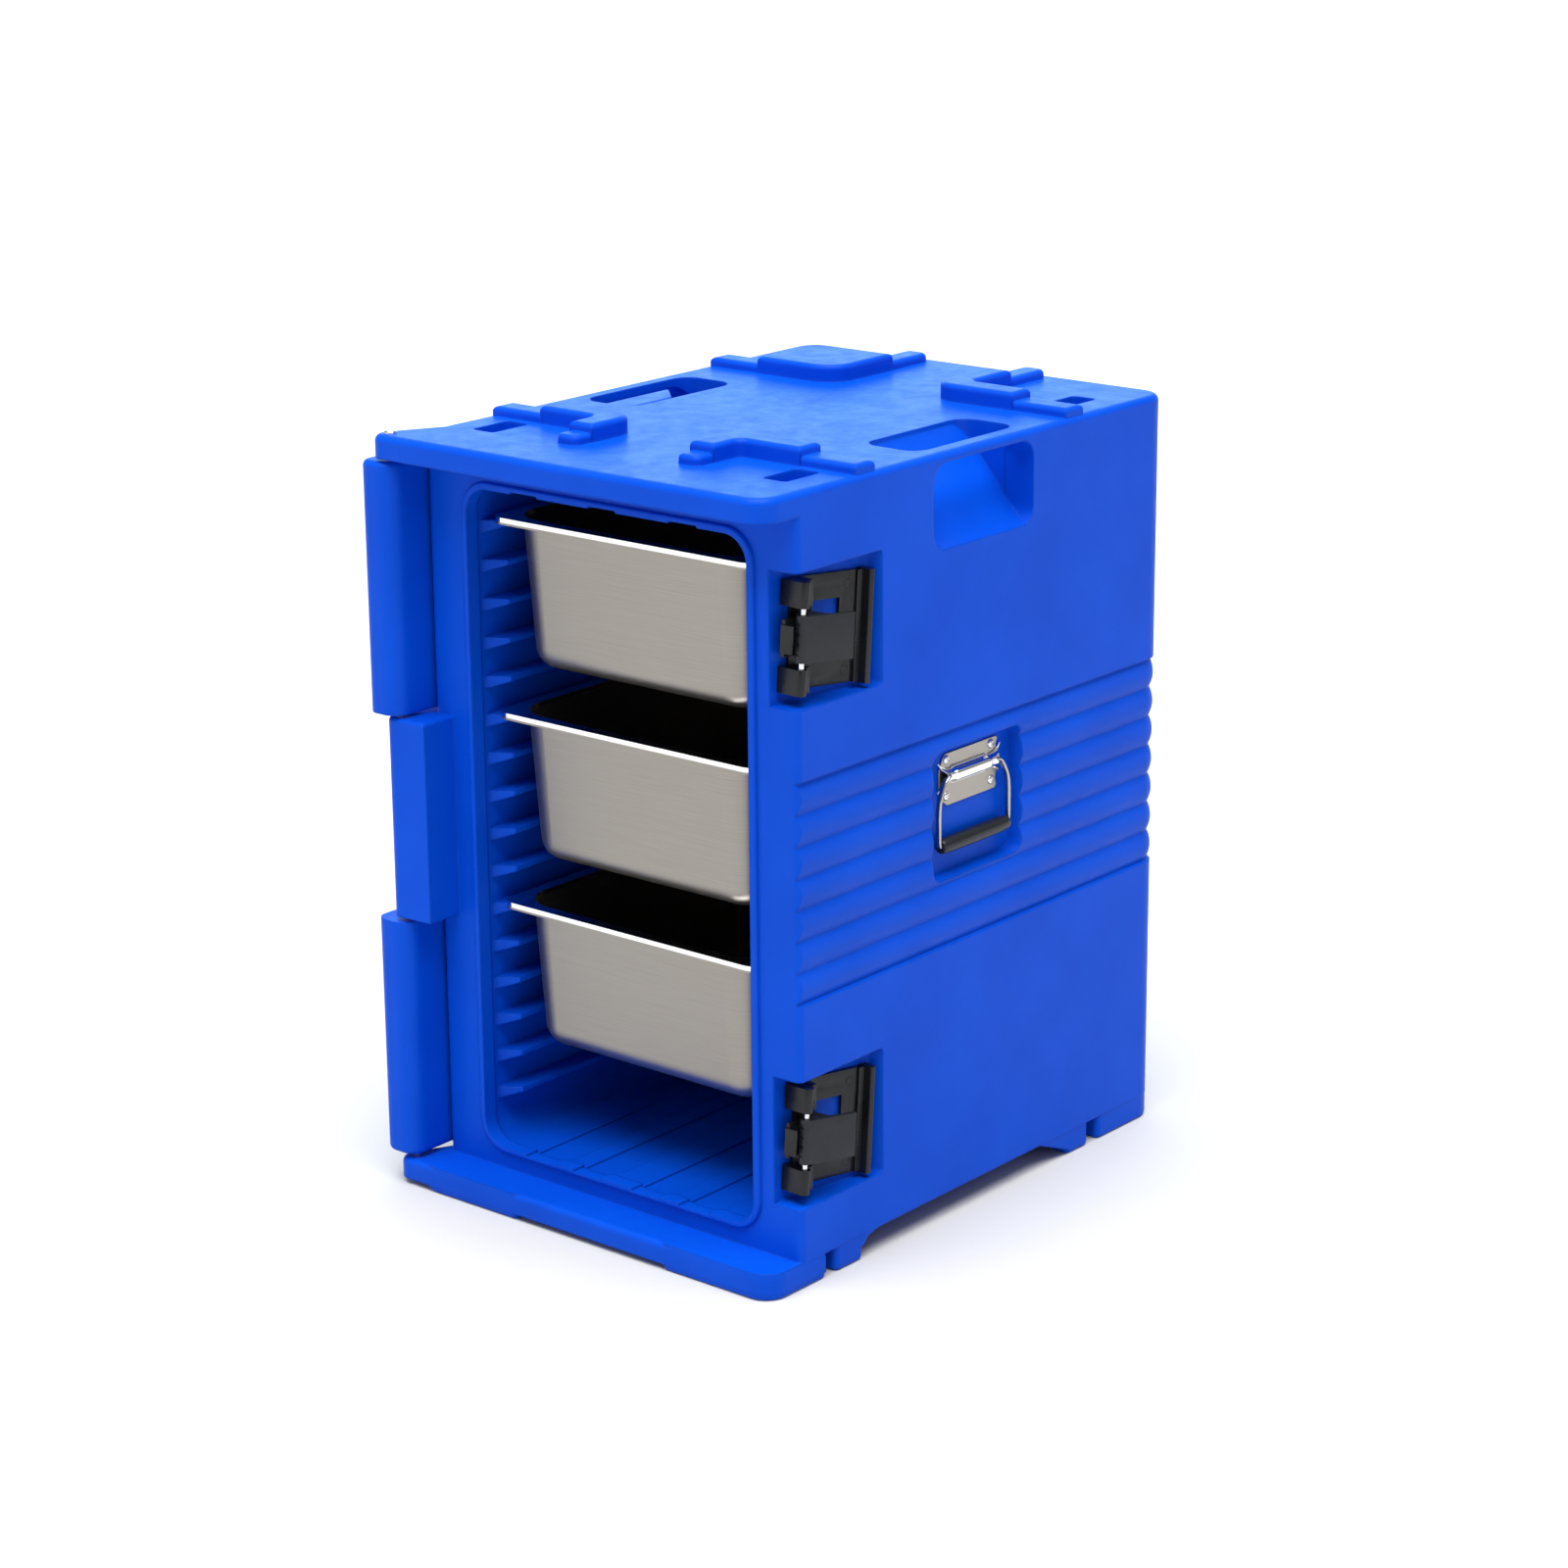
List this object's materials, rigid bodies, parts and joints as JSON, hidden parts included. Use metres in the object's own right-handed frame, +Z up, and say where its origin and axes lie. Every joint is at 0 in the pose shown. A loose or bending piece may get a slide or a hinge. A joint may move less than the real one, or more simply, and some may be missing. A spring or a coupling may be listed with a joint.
{
  "type": "insulated food carrier",
  "caption": "Front-loading insulated food carrier, its door swung back on the left side, with over-centre latches, drop handles, pan rails and steel food pans.",
  "frame": {"origin": "on the floor plane of the feet, on the centre line of the opening, below the body's front face", "axes": "+X to the user's right, +Y from the opening to the back, +Z up"},
  "size_m": [0.5227, 0.6292, 0.776],
  "materials": {
    "moulded_shell": "rotomoulded polyethylene, fine satin mottle",
    "insulating_foam": "foamed in place, sealed inside the walls",
    "gasket_rubber": "satin extruded seal",
    "pan_steel": "drawn stainless steel, brushed sides",
    "grip_vinyl": "smooth moulded vinyl",
    "polished_steel": "polished stainless steel",
    "latch_lever_nylon": "moulded glass-filled nylon",
    "latch_nylon": "moulded glass-filled nylon"
  },
  "bodies": {
    "carrier": {"body_shell": "moulded_shell", "body_foam_core": "insulating_foam", "foam_port_plug_left": "moulded_shell", "foam_port_plug_right": "moulded_shell", "hinge_pin": "polished_steel", "latch_upper_base": "latch_nylon", "latch_upper_pivot_pin": "polished_steel", "latch_upper_screw_1": "latch_nylon", "latch_upper_screw_2": "latch_nylon", "latch_upper_screw_3": "latch_nylon", "latch_upper_screw_4": "latch_nylon", "latch_lower_base": "latch_nylon", "latch_lower_pivot_pin": "polished_steel", "latch_lower_screw_1": "latch_nylon", "latch_lower_screw_2": "latch_nylon", "latch_lower_screw_3": "latch_nylon", "latch_lower_screw_4": "latch_nylon", "handle_left_plate": "polished_steel", "handle_left_bail": "polished_steel", "handle_left_grip": "grip_vinyl", "handle_left_rivet_1": "polished_steel", "handle_left_rivet_2": "polished_steel", "handle_left_rivet_3": "polished_steel", "handle_left_rivet_4": "polished_steel", "handle_right_plate": "polished_steel", "handle_right_rivet_1": "polished_steel", "handle_right_rivet_2": "polished_steel", "handle_right_rivet_3": "polished_steel", "handle_right_rivet_4": "polished_steel"},
    "door": {"door_shell": "moulded_shell", "door_foam_core": "insulating_foam", "door_gasket": "gasket_rubber", "door_port_cap": "moulded_shell", "door_keeper_upper": "latch_nylon", "door_keeper_upper_screw_top": "polished_steel", "door_keeper_upper_screw_bottom": "polished_steel", "door_keeper_lower": "latch_nylon", "door_keeper_lower_screw_top": "polished_steel", "door_keeper_lower_screw_bottom": "polished_steel"},
    "latch_lever_upper": {"latch_upper_lever": "latch_lever_nylon", "latch_upper_link_pin": "polished_steel"},
    "latch_link_upper": {"latch_upper_link": "latch_nylon"},
    "latch_lever_lower": {"latch_lower_lever": "latch_lever_nylon", "latch_lower_link_pin": "polished_steel"},
    "latch_link_lower": {"latch_lower_link": "latch_nylon"},
    "handle_bail_right": {"handle_right_bail": "polished_steel", "handle_right_grip": "grip_vinyl"},
    "pan_1": {"pan_1": "pan_steel"},
    "pan_2": {"pan_2": "pan_steel"},
    "pan_3": {"pan_3": "pan_steel"}
  },
  "joints": [
    {"name": "door_hinge", "type": "hinge", "parent": "carrier", "child": "door", "pos_m": [-0.242, -0.031, 0.38], "axis": [0, 0, 1], "range_deg": [0, 270]},
    {"name": "latch_upper_lever_pivot", "type": "hinge", "parent": "carrier", "child": "latch_lever_upper", "pos_m": [0.22, 0.017, 0.622], "axis": [0.0113, 0.06, 0.9981], "range_deg": [-84, 0]},
    {"name": "latch_upper_link_pivot", "type": "hinge", "parent": "latch_lever_upper", "child": "latch_link_upper", "pos_m": [0.20979, 0.03447, 0.62107], "axis": [0.0113, 0.06, 0.9981], "range_deg": [-3, 4]},
    {"name": "latch_lower_lever_pivot", "type": "hinge", "parent": "carrier", "child": "latch_lever_lower", "pos_m": [0.22, 0.017, 0.142], "axis": [0.0113, 0.06, 0.9981], "range_deg": [-84, 0]},
    {"name": "latch_lower_link_pivot", "type": "hinge", "parent": "latch_lever_lower", "child": "latch_link_lower", "pos_m": [0.20979, 0.03447, 0.14107], "axis": [0.0113, 0.06, 0.9981], "range_deg": [-3, 4]},
    {"name": "handle_right_swing", "type": "hinge", "parent": "carrier", "child": "handle_bail_right", "pos_m": [0.2203, 0.272, 0.444], "axis": [0, 1, 0], "range_deg": [-90, 0]},
    {"name": "pan_1_slide", "type": "slide", "parent": "carrier", "child": "pan_1", "axis": [0, 1, 0], "range_m": [-0.54, 0]},
    {"name": "pan_2_slide", "type": "slide", "parent": "carrier", "child": "pan_2", "axis": [0, 1, 0], "range_m": [-0.54, 0]},
    {"name": "pan_3_slide", "type": "slide", "parent": "carrier", "child": "pan_3", "axis": [0, 1, 0], "range_m": [-0.54, 0]}
  ]
}
